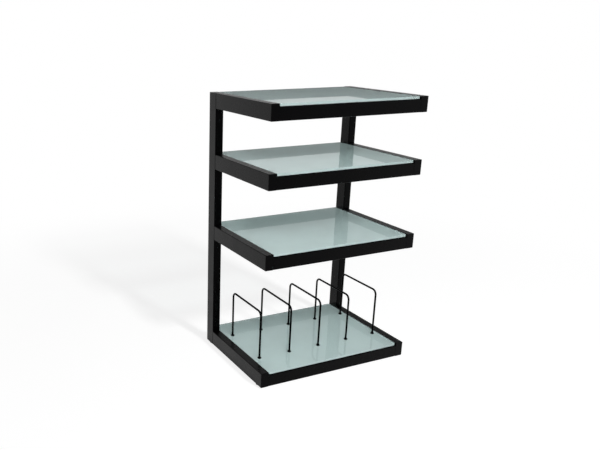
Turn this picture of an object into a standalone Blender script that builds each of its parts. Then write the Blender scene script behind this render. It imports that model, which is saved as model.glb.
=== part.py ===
"""Hi-fi rack: a black steel tube frame with four glass shelves and wire record dividers.

Two posts and four rear bars make a ladder at the back. Each shelf is a U of two arms and a front bar,
bolted to the posts from behind. The glass lies loose on rubber strips between the arms, and the bottom
glass is drilled for five bent wire dividers, which flange nuts hold from below.

Units are metres. +Z is up, the front faces -Y, and the origin is on the floor under the rack's centre.
"""
import math

import bmesh
import bpy
from mathutils import Matrix, Vector

# Tube frame, outside sizes
RACK_WIDTH = 0.600
RACK_DEPTH = 0.415

# Clear heights between the arms, from the bottom shelf up
RECORD_BAY = 0.3655
MIDDLE_BAY = 0.2085
UPPER_BAY = 0.159

# Tube of the posts and arms: the broad side faces the side of the rack
TUBE_WIDTH = 0.030
POST_DEPTH = 0.050
ARM_HEIGHT = 0.053

# Tube of the front and rear bars
BAR_DEPTH = 0.030
BAR_HEIGHT = 0.043

# Walls, end plates and the rounding of the tubes' long edges
TUBE_WALL = 0.0015
TUBE_CORNER = 0.0015
CAP_PLATE = 0.002
BOLT_PLATE = 0.006

# Button-head bolts through the posts into the arms
BOLT_RADIUS = 0.004
BOLT_REACH = 0.006
BOLT_HEAD_RADIUS = 0.007
BOLT_HEAD_RIM = 0.0012
BOLT_HEAD_HEIGHT = 0.0044
BOLT_SOCKET_FLATS = 0.005
BOLT_SOCKET_DEPTH = 0.0026

# Glass shelves, lacquered pale on the underside
GLASS_THICKNESS = 0.008
GLASS_SIDE_GAP = 0.0015
GLASS_SETBACK = 0.002
GLASS_CORNER = 0.008
GLASS_ARRIS = 0.0008

# Rubber strips that the glass lies on
STRIP_WIDTH = 0.010
STRIP_THICKNESS = 0.0008
STRIP_CORNER = 0.0025
STRIP_END_MARGIN = 0.020

# Wire dividers: height is from the glass to the middle of the top wire
DIVIDER_COUNT = 5
DIVIDER_EDGE_MARGIN = 0.0225
DIVIDER_REAR_SETBACK = 0.107
DIVIDER_DEPTH = 0.200
DIVIDER_HEIGHT = 0.1735
DIVIDER_BEND = 0.018
WIRE_RADIUS = 0.0035
WIRE_HOLE_GAP = 0.0006
COLLAR_RADIUS = 0.0072
COLLAR_RIM = 0.0012
COLLAR_NECK = 0.0012
COLLAR_HEIGHT = 0.006

# Flange nuts under the bottom glass
NUT_FLATS = 0.011
NUT_HEIGHT = 0.0055
NUT_FLANGE_RADIUS = 0.0078
NUT_FLANGE = 0.0014
WIRE_PAST_NUT = 0.002

# Levelling feet, screwed into a boss inside the posts and the bottom arms
FOOT_HEIGHT = 0.005
FOOT_RADIUS = 0.0125
FOOT_CHAMFER = 0.0015
FOOT_STEM_RADIUS = 0.004
FOOT_BOSS_RADIUS = 0.008
FOOT_BOSS_HEIGHT = 0.010
FOOT_STEM_BELOW_BOLT = 0.004
FOOT_FRONT_SETBACK = 0.035

# Clearances: between faces that touch, and around a shaft in its hole
SEAT_GAP = 0.0003
HOLE_GAP = 0.0003

# How finely round shapes are faceted
TUBE_CORNER_FACETS = 2
GLASS_CORNER_FACETS = 5
ROUND_FACETS = 16
BEND_FACETS = 6
WIRE_BEVEL_RESOLUTION = 2
CUT_MARGIN = 0.002
WELD_DISTANCE = 0.00001
SHARP_ANGLE = math.radians(30)

# Shelves from the floor up, and the bay above each one but the last
SHELVES = ("bottom", "lower", "upper", "top")
BAYS = (RECORD_BAY, MIDDLE_BAY, UPPER_BAY)
SIDES = {"left": -1, "right": 1}

# Places that several pieces share
BOLT_STANDS_OUT = SEAT_GAP + BOLT_HEAD_HEIGHT
FRAME_FRONT = -(RACK_DEPTH + BOLT_STANDS_OUT) / 2
FRAME_REAR = FRAME_FRONT + RACK_DEPTH
POST_FRONT = FRAME_REAR - POST_DEPTH
POST_HEIGHT = len(SHELVES) * ARM_HEIGHT + sum(BAYS)
ARM_LENGTH = POST_FRONT - SEAT_GAP - FRAME_FRONT
SIDE_CENTRE = (RACK_WIDTH - TUBE_WIDTH) / 2
INNER_WIDTH = RACK_WIDTH - 2 * TUBE_WIDTH
BAR_LENGTH = INNER_WIDTH - 2 * SEAT_GAP
GLASS_WIDTH = INNER_WIDTH - 2 * GLASS_SIDE_GAP
GLASS_DEPTH = RACK_DEPTH - 2 * GLASS_SETBACK
GLASS_SEAT = BAR_HEIGHT + SEAT_GAP + STRIP_THICKNESS + SEAT_GAP
BOLT_LENGTH = SEAT_GAP + POST_DEPTH + SEAT_GAP + BOLT_PLATE + BOLT_REACH
FOOT_STEM_REACH = ARM_HEIGHT / 2 - BOLT_RADIUS - HOLE_GAP - FOOT_STEM_BELOW_BOLT
DIVIDER_PITCH = (GLASS_WIDTH - 2 * DIVIDER_EDGE_MARGIN) / (DIVIDER_COUNT - 1)
DIVIDER_CENTRE = GLASS_DEPTH / 2 - DIVIDER_REAR_SETBACK - DIVIDER_DEPTH / 2
DIVIDER_LEGS = {"front": DIVIDER_CENTRE - DIVIDER_DEPTH / 2, "rear": DIVIDER_CENTRE + DIVIDER_DEPTH / 2}


def shelf_heights():
    """Height of the underside of each shelf's arms, from the floor up."""
    heights = [FOOT_HEIGHT]
    for bay in BAYS:
        heights.append(heights[-1] + ARM_HEIGHT + bay)
    return heights


def divider_columns():
    """Place of each divider across the bottom glass, from the left."""
    return [(index - (DIVIDER_COUNT - 1) / 2) * DIVIDER_PITCH for index in range(DIVIDER_COUNT)]


# Materials

def material(name, colour, roughness, metallic=0.0):
    """A Principled material with the colour and gloss of one finish."""
    finish = bpy.data.materials.new(name)
    finish.use_nodes = True
    shader = finish.node_tree.nodes["Principled BSDF"]
    shader.inputs["Base Color"].default_value = (*colour, 1.0)
    shader.inputs["Roughness"].default_value = roughness
    shader.inputs["Metallic"].default_value = metallic
    return finish


# Shapes

def mesh_from(bm, name):
    """Turn a bmesh into a mesh and free it."""
    bmesh.ops.recalc_face_normals(bm, faces=bm.faces)
    mesh = bpy.data.meshes.new(name)
    bm.to_mesh(mesh)
    bm.free()
    return mesh


def block(low, high, round_along=None, radius=0.0, facets=1):
    """A box between two corners, with its edges along one axis rounded if asked."""
    low, high = Vector(low), Vector(high)
    bm = bmesh.new()
    bmesh.ops.create_cube(bm, size=1.0)
    bmesh.ops.scale(bm, vec=high - low, verts=bm.verts)
    bmesh.ops.translate(bm, vec=(low + high) / 2, verts=bm.verts)
    if round_along is not None:
        axis = "XYZ".index(round_along)
        others = [i for i in range(3) if i != axis]
        edges = [e for e in bm.edges
                 if all(abs(e.verts[0].co[i] - e.verts[1].co[i]) < WELD_DISTANCE for i in others)]
        bmesh.ops.bevel(bm, geom=edges, offset=radius, segments=facets, profile=0.5, affect="EDGES")
    return mesh_from(bm, "block")


def rod(radius, start, end, facets=ROUND_FACETS):
    """A straight rod between two points; six facets make a hexagon."""
    start, end = Vector(start), Vector(end)
    along = end - start
    bm = bmesh.new()
    bmesh.ops.create_cone(bm, cap_ends=True, segments=facets, depth=along.length,
                          radius1=radius, radius2=radius)
    turn = Vector((0, 0, 1)).rotation_difference(along).to_matrix().to_4x4()
    bmesh.ops.transform(bm, matrix=Matrix.Translation((start + end) / 2) @ turn, verts=bm.verts)
    return mesh_from(bm, "rod")


def hexagon_radius(across_flats):
    """Corner radius of a hexagon from its size across flats."""
    return across_flats / 2 / math.cos(math.pi / 6)


def baked(piece):
    """The evaluated mesh of a temporary object, with loose seams merged; the object is removed."""
    graph = bpy.context.evaluated_depsgraph_get()
    mesh = bpy.data.meshes.new_from_object(piece.evaluated_get(graph))
    bpy.data.objects.remove(piece)
    bm = bmesh.new()
    bm.from_mesh(mesh)
    bmesh.ops.remove_doubles(bm, verts=bm.verts, dist=WELD_DISTANCE)
    bm.to_mesh(mesh)
    bm.free()
    return mesh


def turned(profile):
    """A solid of revolution about Z from a profile of (radius, height), listed from the top down."""
    mesh = bpy.data.meshes.new("turned")
    points = [(radius, 0, height) for radius, height in profile]
    mesh.from_pydata(points, [(i, i + 1) for i in range(len(points) - 1)], [])
    piece = bpy.data.objects.new("turned", mesh)
    tools.objects.link(piece)
    screw = piece.modifiers.new("turn", "SCREW")
    screw.axis = "Z"
    screw.steps = ROUND_FACETS
    screw.render_steps = ROUND_FACETS
    screw.use_merge_vertices = True
    screw.merge_threshold = WELD_DISTANCE
    return baked(piece)


def worked(blank, *operations):
    """A blank mesh after a list of (UNION or DIFFERENCE, tool mesh) operations."""
    piece = bpy.data.objects.new("blank", blank)
    tools.objects.link(piece)
    cutters = []
    for operation, tool in operations:
        cutter = bpy.data.objects.new("cutter", tool)
        cutter.hide_render = True
        cutter.display_type = "WIRE"
        tools.objects.link(cutter)
        cutters.append(cutter)
        boolean = piece.modifiers.new(operation.lower(), "BOOLEAN")
        boolean.operation = operation
        boolean.solver = "EXACT"
        boolean.object = cutter
    mesh = baked(piece)
    for cutter in cutters:
        bpy.data.objects.remove(cutter)
    return mesh


def finished(mesh, name, finish):
    """Name a mesh, give it its material and shade its round faces smooth."""
    mesh.name = name
    mesh.materials.clear()
    mesh.materials.append(finish)
    mesh.shade_smooth()
    mesh.set_sharp_from_angle(angle=SHARP_ANGLE)
    return mesh


# Frame pieces

def foot_boss(along_y, floor_thickness):
    """Boss that takes a foot's stem, from the middle of the tube's floor upwards."""
    return rod(FOOT_BOSS_RADIUS, (0, along_y, floor_thickness / 2), (0, along_y, FOOT_BOSS_HEIGHT))


def foot_hole(along_y):
    """Hole for a foot's stem, from below the tube to above its boss."""
    radius = FOOT_STEM_RADIUS + HOLE_GAP
    return rod(radius, (0, along_y, -CUT_MARGIN), (0, along_y, FOOT_BOSS_HEIGHT + CUT_MARGIN))


def post():
    """Post tube with both ends plated, a boss for its foot and holes for the arm bolts.

    Its origin is under the middle of the section, at the bottom end.
    """
    x, y = TUBE_WIDTH / 2, POST_DEPTH / 2
    outside = block((-x, -y, 0), (x, y, POST_HEIGHT), "Z", TUBE_CORNER, TUBE_CORNER_FACETS)
    hollow = block((TUBE_WALL - x, TUBE_WALL - y, CAP_PLATE),
                   (x - TUBE_WALL, y - TUBE_WALL, POST_HEIGHT - CAP_PLATE))
    steps = [("DIFFERENCE", hollow), ("UNION", foot_boss(0, CAP_PLATE)), ("DIFFERENCE", foot_hole(0))]
    reach = y + CUT_MARGIN
    for height in shelf_heights():
        level = height - FOOT_HEIGHT + ARM_HEIGHT / 2
        steps.append(("DIFFERENCE", rod(BOLT_RADIUS + HOLE_GAP, (0, -reach, level), (0, reach, level))))
    return worked(outside, *steps)


def arm(with_foot):
    """Arm tube with a cap at the front and a tapped plate at the rear, and a foot's boss if asked.

    Its origin is under the middle of its front end.
    """
    half = TUBE_WIDTH / 2
    outside = block((-half, 0, 0), (half, ARM_LENGTH, ARM_HEIGHT), "Y", TUBE_CORNER, TUBE_CORNER_FACETS)
    hollow = block((TUBE_WALL - half, CAP_PLATE, TUBE_WALL),
                   (half - TUBE_WALL, ARM_LENGTH - BOLT_PLATE, ARM_HEIGHT - TUBE_WALL))
    bolt_hole = rod(BOLT_RADIUS + HOLE_GAP,
                    (0, ARM_LENGTH - BOLT_PLATE - CUT_MARGIN, ARM_HEIGHT / 2),
                    (0, ARM_LENGTH + CUT_MARGIN, ARM_HEIGHT / 2))
    steps = [("DIFFERENCE", hollow), ("DIFFERENCE", bolt_hole)]
    if with_foot:
        steps.append(("UNION", foot_boss(FOOT_FRONT_SETBACK, TUBE_WALL)))
        steps.append(("DIFFERENCE", foot_hole(FOOT_FRONT_SETBACK)))
    return worked(outside, *steps)


def bar():
    """Cross bar tube, open at both ends where it is welded.

    Its origin is under its middle.
    """
    reach = BAR_LENGTH / 2
    half = BAR_DEPTH / 2
    outside = block((-reach, -half, 0), (reach, half, BAR_HEIGHT), "X", TUBE_CORNER, TUBE_CORNER_FACETS)
    hollow = block((-reach - CUT_MARGIN, TUBE_WALL - half, TUBE_WALL),
                   (reach + CUT_MARGIN, half - TUBE_WALL, BAR_HEIGHT - TUBE_WALL))
    return worked(outside, ("DIFFERENCE", hollow))


def arm_bolt():
    """Button-head bolt along Z, head upwards, with its origin under the head."""
    crown = BOLT_HEAD_RADIUS * math.cos(math.pi / 4)
    shoulder = BOLT_HEAD_RIM + (BOLT_HEAD_HEIGHT - BOLT_HEAD_RIM) * math.sin(math.pi / 4)
    blank = turned([
        (0, BOLT_HEAD_HEIGHT), (BOLT_HEAD_RADIUS / 2, BOLT_HEAD_HEIGHT), (crown, shoulder),
        (BOLT_HEAD_RADIUS, BOLT_HEAD_RIM), (BOLT_HEAD_RADIUS, 0), (BOLT_RADIUS, 0),
        (BOLT_RADIUS, -BOLT_LENGTH), (0, -BOLT_LENGTH),
    ])
    socket = rod(hexagon_radius(BOLT_SOCKET_FLATS), (0, 0, BOLT_HEAD_HEIGHT - BOLT_SOCKET_DEPTH),
                 (0, 0, BOLT_HEAD_HEIGHT + CUT_MARGIN), facets=6)
    return worked(blank, ("DIFFERENCE", socket))


def foot():
    """Levelling foot: a chamfered disc on the floor with a stem that screws into its boss."""
    top = FOOT_HEIGHT - SEAT_GAP
    stem_top = FOOT_HEIGHT + FOOT_STEM_REACH
    return turned([
        (0, stem_top), (FOOT_STEM_RADIUS, stem_top), (FOOT_STEM_RADIUS, top),
        (FOOT_RADIUS - FOOT_CHAMFER, top), (FOOT_RADIUS, top - FOOT_CHAMFER), (FOOT_RADIUS, 0), (0, 0),
    ])


# Shelf pieces

def glass(drilled):
    """Glass shelf with rounded corners and ground edges, drilled for the dividers if asked.

    Its origin is in the middle of its underside.
    """
    x, y = GLASS_WIDTH / 2, GLASS_DEPTH / 2
    plate = block((-x, -y, 0), (x, y, GLASS_THICKNESS), "Z", GLASS_CORNER, GLASS_CORNER_FACETS)
    bm = bmesh.new()
    bm.from_mesh(plate)
    rims = [e for e in bm.edges if abs(e.verts[0].co.z - e.verts[1].co.z) < WELD_DISTANCE]
    bmesh.ops.bevel(bm, geom=rims, offset=GLASS_ARRIS, segments=1, affect="EDGES")
    plate = mesh_from(bm, "plate")
    if not drilled:
        return plate
    radius = WIRE_RADIUS + WIRE_HOLE_GAP
    holes = [rod(radius, (column, leg, -CUT_MARGIN), (column, leg, GLASS_THICKNESS + CUT_MARGIN))
             for column in divider_columns() for leg in DIVIDER_LEGS.values()]
    return worked(plate, *[("DIFFERENCE", hole) for hole in holes])


def strip():
    """Rubber strip along a bar. Its origin is under its middle."""
    x, y = BAR_LENGTH / 2 - STRIP_END_MARGIN, STRIP_WIDTH / 2
    return block((-x, -y, 0), (x, y, STRIP_THICKNESS), "Z", STRIP_CORNER, TUBE_CORNER_FACETS)


def divider():
    """Wire bent into an inverted U with a collar pressed on each leg, where it stands on the glass.

    Its origin is on the glass, midway between the legs. The ends pass through the glass and the nuts.
    """
    leg = DIVIDER_DEPTH / 2
    end = -(GLASS_THICKNESS + SEAT_GAP + NUT_FLANGE + NUT_HEIGHT + WIRE_PAST_NUT)
    bend_centre = (leg - DIVIDER_BEND, DIVIDER_HEIGHT - DIVIDER_BEND)
    rear_half = []
    for step in range(BEND_FACETS + 1):
        angle = math.radians(90) * (1 - step / BEND_FACETS)
        rear_half.append((bend_centre[0] + DIVIDER_BEND * math.cos(angle),
                          bend_centre[1] + DIVIDER_BEND * math.sin(angle)))
    rear_half.append((leg, end))
    route = [(-y, z) for y, z in reversed(rear_half)] + rear_half

    curve = bpy.data.curves.new("wire", "CURVE")
    curve.dimensions = "3D"
    curve.bevel_depth = WIRE_RADIUS
    curve.bevel_resolution = WIRE_BEVEL_RESOLUTION
    curve.use_fill_caps = True
    spline = curve.splines.new("POLY")
    spline.points.add(len(route) - 1)
    for point, (y, z) in zip(spline.points, route):
        point.co = (0, y, z, 1)
    wire = bpy.data.objects.new("wire", curve)
    tools.objects.link(wire)

    neck = WIRE_RADIUS + COLLAR_NECK
    collars = []
    for side in (-1, 1):
        collar = turned([
            (0, COLLAR_HEIGHT), (neck, COLLAR_HEIGHT), (neck, COLLAR_HEIGHT / 2),
            (COLLAR_RADIUS, SEAT_GAP + COLLAR_RIM), (COLLAR_RADIUS, SEAT_GAP), (0, SEAT_GAP),
        ])
        collar.transform(Matrix.Translation((0, side * leg, 0)))
        collars.append(("UNION", collar))
    return worked(baked(wire), *collars)


def divider_nut():
    """Flange nut, flange upwards, with its origin at the middle of the flange's top."""
    flange = rod(NUT_FLANGE_RADIUS, (0, 0, -NUT_FLANGE), (0, 0, 0))
    bottom = -NUT_FLANGE - NUT_HEIGHT
    flats = rod(hexagon_radius(NUT_FLATS), (0, 0, bottom), (0, 0, -NUT_FLANGE / 2), facets=6)
    bore = rod(WIRE_RADIUS + HOLE_GAP, (0, 0, bottom - CUT_MARGIN), (0, 0, CUT_MARGIN))
    return worked(flange, ("UNION", flats), ("DIFFERENCE", bore))


# Assembly

def place(name, mesh, location, parent, rotation=(0, 0, 0)):
    """Add one named piece to the rack, placed from its parent's origin."""
    piece = bpy.data.objects.new(name, mesh)
    rack.objects.link(piece)
    piece.parent = parent
    piece.location = location
    piece.rotation_euler = rotation
    return piece


def empty(name, location=(0, 0, 0)):
    """A named axis cross that pieces are placed from."""
    marker = bpy.data.objects.new(name, None)
    rack.objects.link(marker)
    marker.location = location
    return marker


def build_frame(base):
    """Place the posts, arms, bars and bolts."""
    paint = material("satin_black_paint", (0.012, 0.012, 0.013), 0.32)
    zinc = material("black_zinc", (0.025, 0.025, 0.027), 0.35, metallic=0.9)
    post_mesh = finished(post(), "post", paint)
    bar_mesh = finished(bar(), "bar", paint)
    bolt_mesh = finished(arm_bolt(), "arm_bolt", zinc)
    arm_meshes = {name: finished(arm(name == SHELVES[0]), f"arm_{name}", paint) for name in SHELVES[:2]}

    for side, sign in SIDES.items():
        x = sign * SIDE_CENTRE
        place(f"{side}_post", post_mesh, (x, FRAME_REAR - POST_DEPTH / 2, FOOT_HEIGHT), base)
        for shelf, height in zip(SHELVES, shelf_heights()):
            arm_mesh = arm_meshes.get(shelf, arm_meshes[SHELVES[1]])
            place(f"{side}_arm_{shelf}", arm_mesh, (x, FRAME_FRONT, height), base)
            bolt_seat = (x, FRAME_REAR + SEAT_GAP, height + ARM_HEIGHT / 2)
            place(f"{side}_arm_bolt_{shelf}", bolt_mesh, bolt_seat, base, rotation=(-math.pi / 2, 0, 0))

    for shelf, height in zip(SHELVES, shelf_heights()):
        place(f"front_bar_{shelf}", bar_mesh, (0, FRAME_FRONT + BAR_DEPTH / 2, height), base)
        place(f"rear_bar_{shelf}", bar_mesh, (0, FRAME_REAR - BAR_DEPTH / 2, height), base)


def build_feet(base):
    """Place a foot under each post and under the front of each bottom arm."""
    black_steel = material("black_foot_steel", (0.02, 0.02, 0.02), 0.5, metallic=0.6)
    foot_mesh = finished(foot(), "foot", black_steel)
    for side, sign in SIDES.items():
        x = sign * SIDE_CENTRE
        place(f"{side}_front_foot", foot_mesh, (x, FRAME_FRONT + FOOT_FRONT_SETBACK, 0), base)
        place(f"{side}_rear_foot", foot_mesh, (x, FRAME_REAR - POST_DEPTH / 2, 0), base)


def build_shelves(base):
    """Place the strips and the glass; returns the bottom glass, which carries the dividers."""
    backed = material("backed_glass", (0.60, 0.70, 0.70), 0.03)
    rubber = material("black_rubber", (0.015, 0.015, 0.015), 0.8)
    strip_mesh = finished(strip(), "strip", rubber)
    plain_mesh = finished(glass(drilled=False), "glass", backed)
    drilled_mesh = finished(glass(drilled=True), "drilled_glass", backed)
    middle = (FRAME_FRONT + FRAME_REAR) / 2
    shelves = {}
    for shelf, height in zip(SHELVES, shelf_heights()):
        on_bar = height + BAR_HEIGHT + SEAT_GAP
        place(f"front_strip_{shelf}", strip_mesh, (0, FRAME_FRONT + BAR_DEPTH / 2, on_bar), base)
        place(f"rear_strip_{shelf}", strip_mesh, (0, FRAME_REAR - BAR_DEPTH / 2, on_bar), base)
        glass_mesh = drilled_mesh if shelf == SHELVES[0] else plain_mesh
        shelves[shelf] = place(f"glass_{shelf}", glass_mesh, (0, middle, height + GLASS_SEAT), base)
    return shelves[SHELVES[0]]


def build_dividers(bottom_glass):
    """Place the dividers on the bottom glass and their nuts under it."""
    wire_paint = material("black_wire_paint", (0.012, 0.012, 0.013), 0.30)
    steel = material("zinc_steel", (0.55, 0.55, 0.56), 0.35, metallic=1.0)
    divider_mesh = finished(divider(), "divider", wire_paint)
    nut_mesh = finished(divider_nut(), "divider_nut", steel)
    for number, column in enumerate(divider_columns(), start=1):
        place(f"divider_{number}", divider_mesh, (column, DIVIDER_CENTRE, GLASS_THICKNESS), bottom_glass)
        for end, leg in DIVIDER_LEGS.items():
            place(f"divider_nut_{number}_{end}", nut_mesh, (column, leg, -SEAT_GAP), bottom_glass)


for old in list(bpy.data.objects):
    bpy.data.objects.remove(old)
rack = bpy.data.collections.new("hifi_rack")
tools = bpy.data.collections.new("cutters")
bpy.context.scene.collection.children.link(rack)
bpy.context.scene.collection.children.link(tools)

rack_base = empty("rack_base")
build_frame(rack_base)
build_feet(rack_base)
build_dividers(build_shelves(rack_base))
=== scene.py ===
"""Hi-fi rack: a black cantilever frame, four backed glass shelves and a row of record dividers.

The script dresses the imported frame. Every size comes from the frame's own boxes or is a named field
of the sub-assembly that uses it, in metres. Each finished piece is one plain mesh with its object at
the origin.
"""
import logging
import math
from dataclasses import dataclass, field
from enum import Enum, StrEnum
from typing import Any, Sequence

import bmesh
import bpy
from mathutils import Euler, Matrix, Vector


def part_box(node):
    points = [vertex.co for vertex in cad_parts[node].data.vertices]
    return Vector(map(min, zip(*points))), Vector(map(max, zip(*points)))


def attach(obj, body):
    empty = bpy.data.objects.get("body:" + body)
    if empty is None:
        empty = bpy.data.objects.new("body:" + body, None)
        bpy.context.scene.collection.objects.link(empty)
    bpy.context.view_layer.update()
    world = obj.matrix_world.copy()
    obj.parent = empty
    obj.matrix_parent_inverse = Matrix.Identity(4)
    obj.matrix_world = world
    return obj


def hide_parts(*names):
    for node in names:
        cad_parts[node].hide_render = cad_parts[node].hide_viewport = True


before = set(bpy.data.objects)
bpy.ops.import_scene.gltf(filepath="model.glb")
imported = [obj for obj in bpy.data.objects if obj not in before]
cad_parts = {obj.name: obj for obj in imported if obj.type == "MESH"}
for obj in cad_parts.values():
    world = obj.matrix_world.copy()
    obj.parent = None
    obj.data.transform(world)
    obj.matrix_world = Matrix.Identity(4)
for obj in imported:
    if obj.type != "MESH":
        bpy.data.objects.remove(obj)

LOG = logging.getLogger("hifi_rack")
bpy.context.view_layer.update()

# How far the middle of a small round lies from each of its two faces, as a share of its radius.
MID_ROUND = 0.3

# Short names for types. Ends is any pair of numbers, such as a range, or a radius and its height.
Colour = tuple[float, float, float]
Ends = tuple[float, float]
Ring = list[Vector]
Item = bpy.types.Object
Material = bpy.types.Material
Mesh = bpy.types.Mesh
Shape = bmesh.types.BMesh
Node = bpy.types.Node
Socket = bpy.types.NodeSocket
Source = Node | Socket
Term = Source | float
Feed = tuple[str | int, Any]


class Shelf(StrEnum):
    """The four shelf levels, from the floor up."""

    BOTTOM = "bottom"
    LOWER = "lower"
    UPPER = "upper"
    TOP = "top"


class Side(StrEnum):
    """The two sides of the rack."""

    LEFT = "left"
    RIGHT = "right"


class End(StrEnum):
    """The front and the rear of the rack."""

    FRONT = "front"
    REAR = "rear"


class Slot(Enum):
    """The record's material slots, passed along with each finished piece but not read by the script."""

    FRAME_PAINT = "frame_paint"
    WIRE_PAINT = "wire_paint"
    SHELF_GLASS = "shelf_glass"
    BOLT_STEEL = "bolt_steel"
    NUT_STEEL = "nut_steel"
    FOOT_STEEL = "foot_steel"


class Axis(Enum):
    """The way a tube runs: its index, and the two axes across it in right-handed order."""

    X = (0, 1, 2)
    Y = (1, 2, 0)
    Z = (2, 0, 1)


class Cap(Enum):
    """How a row of rings ends: with a face over each end, open, or with its last ring on its first."""

    FLAT = "flat"
    OPEN = "open"
    LOOP = "loop"


class Reach(Enum):
    """What a lamp lights: the rack and its surroundings, or the floor alone."""

    ALL_BUT_FLOOR = "EXCLUDE"
    FLOOR_ONLY = "INCLUDE"


def grey(level: float) -> tuple[float, float, float, float]:
    """A neutral colour of one level."""
    return (level, level, level, 1)


def stand(name: str, data: bpy.types.ID) -> Item:
    """Adds an object to the scene.

    Args:
        name: its name.
        data: its mesh, lamp or camera.

    Returns:
        The object, at the origin.
    """
    item = bpy.data.objects.new(name, data)
    bpy.context.scene.collection.objects.link(item)
    return item


class NodeBench:
    """A node tree under construction."""

    def __init__(self, tree: bpy.types.NodeTree) -> None:
        """Takes over an empty tree."""
        self.tree = tree

    def add(self, kind: str, *feeds: Feed, **options: Any) -> Node:
        """Adds a node, sets its options and feeds its inputs.

        Args:
            kind: the node's type name.
            feeds: pairs of an input and what feeds it: a socket, a node for its first output, or a value.
            options: the node's own settings.

        Returns:
            The new node.
        """
        node = self.tree.nodes.new(kind)
        for option, value in options.items():
            setattr(node, option, value)
        for target, source in feeds:
            if isinstance(source, Node):
                source = source.outputs[0]
            if isinstance(source, Socket):
                self.tree.links.new(source, node.inputs[target])
            else:
                node.inputs[target].default_value = source
        return node

    def reckon(self, operation: str, *terms: Term, clamped: bool = False) -> Node:
        """One step of arithmetic, whose result is kept between 0 and 1 where it is clamped."""
        return self.add("ShaderNodeMath", *enumerate(terms), operation=operation, use_clamp=clamped)


@dataclass(frozen=True)
class Relief:
    """A fine relief: its features in a metre, how much of it shows and its depth."""

    scale: float
    strength: float
    depth: float


class ShaderBench(NodeBench):
    """The shader of a material or a world under construction."""

    NOISE_RANGE = (0.3, 0.7)

    def __init__(self, owner: Material | bpy.types.World) -> None:
        """Empties the owner's tree.

        Args:
            owner: the material or the world that is made.
        """
        owner.use_nodes = True
        owner.node_tree.nodes.clear()
        super().__init__(owner.node_tree)

    def grain(self, scale: float) -> Node:
        """Noise on the piece's own coordinates, with this many features in a metre."""
        place = self.add("ShaderNodeTexCoord").outputs["Object"]
        return self.add("ShaderNodeTexNoise", ("Vector", place), ("Scale", scale))

    def spread(self, noise: Source, ends: Ends) -> Node:
        """The middle of a noise value, stretched from one end of a range to the other."""
        return self.add("ShaderNodeMapRange", *enumerate((noise, *self.NOISE_RANGE, *ends)))

    def bump(self, relief: Relief) -> Node:
        """The surface normal that a fine relief gives."""
        shown = (("Strength", relief.strength), ("Distance", relief.depth))
        return self.add("ShaderNodeBump", ("Height", self.grain(relief.scale)), *shown)

    def mix(self, share: Source, first: Source, second: Source) -> Node:
        """Mixes two shaders, where a share of 1 gives the second."""
        return self.add("ShaderNodeMixShader", (0, share), (1, first), (2, second))

    def seen(self, mirrored: float) -> Node:
        """How much of the white backdrop a ray sees.

        Args:
            mirrored: the share that gloss and glass show.

        Returns:
            1 for the camera's rays, the share for mirrored and refracted rays and 0 for the rest.
        """
        path = self.add("ShaderNodeLightPath").outputs
        bright = self.reckon("MAXIMUM", path["Is Glossy Ray"], path["Is Transmission Ray"])
        return self.reckon("MULTIPLY_ADD", bright, mirrored, path["Is Camera Ray"], clamped=True)

    def shaded(self, shader: Source, passed: Colour) -> Node:
        """Lets part of the light through a shader to what it shades.

        Args:
            shader: the shader that the eye sees.
            passed: how much of each colour goes through.

        Returns:
            The shader for the eye and for shadows.
        """
        pane = self.add("ShaderNodeBsdfTransparent", ("Color", (*passed, 1)))
        path = self.add("ShaderNodeLightPath")
        return self.mix(path.outputs["Is Shadow Ray"], shader, pane)

    def surface(self, shader: Source, owner: str = "Material") -> None:
        """Ends the tree in the output of a material or a world."""
        self.add(f"ShaderNodeOutput{owner}", ("Surface", shader))


@dataclass(frozen=True)
class Finish:
    """What the finishes share: a colour, a gloss that drifts over the piece and a fine relief."""

    name: str
    colour: Colour
    roughness: Ends
    cloud_scale: float
    relief: Relief | None = None
    passed: Colour | None = None

    def material(self) -> Material:
        """Builds the finish. One that passes light lets it through to what it shades.

        Returns:
            The material.
        """
        material = bpy.data.materials.new(self.name)
        bench = ShaderBench(material)
        clouds = bench.grain(self.cloud_scale)
        feeds = self.nature()
        if self.relief:
            feeds.append(("Normal", bench.bump(self.relief)))
        shader = bench.add("ShaderNodeBsdfPrincipled", ("Base Color", self.tone(bench, clouds)),
                           ("Roughness", bench.spread(clouds, self.roughness)), *feeds)
        bench.surface(bench.shaded(shader, self.passed) if self.passed else shader)
        return material

    def tone(self, bench: ShaderBench, clouds: Source) -> Any:
        """The colour, which is even unless a finish has clouds in it."""
        return (*self.colour, 1)

    def nature(self) -> list[Feed]:
        """The shader inputs that only this kind of finish has."""
        return []


@dataclass(frozen=True)
class PaintFinish(Finish):
    """Black stoving paint with a fine orange peel, on tube or wire."""

    colour: Colour = (0.0012, 0.0012, 0.0014)
    roughness: Ends = (0.24, 0.32)
    cloud_scale: float = 22.0
    relief: Relief = Relief(1100.0, 0.08, 0.0002)
    ior: float = 1.40
    face_on_sheen: float = 0.04

    def nature(self) -> list[Feed]:
        """The sheen, which is faint face on."""
        return [("IOR", self.ior), ("Specular Tint", grey(self.face_on_sheen))]


@dataclass(frozen=True)
class GlassFinish(Finish):
    """Clear float glass with a green-grey tint, faintly uneven as the real sheet is."""

    name: str = "shelf_glass"
    colour: Colour = (0.93, 0.97, 0.97)
    roughness: Ends = (0.005, 0.02)
    cloud_scale: float = 14.0
    passed: Colour = (0.90, 0.97, 0.96)
    ior: float = 1.5

    def nature(self) -> list[Feed]:
        """The clearness."""
        return [("IOR", self.ior), ("Transmission Weight", 1.0)]


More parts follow.
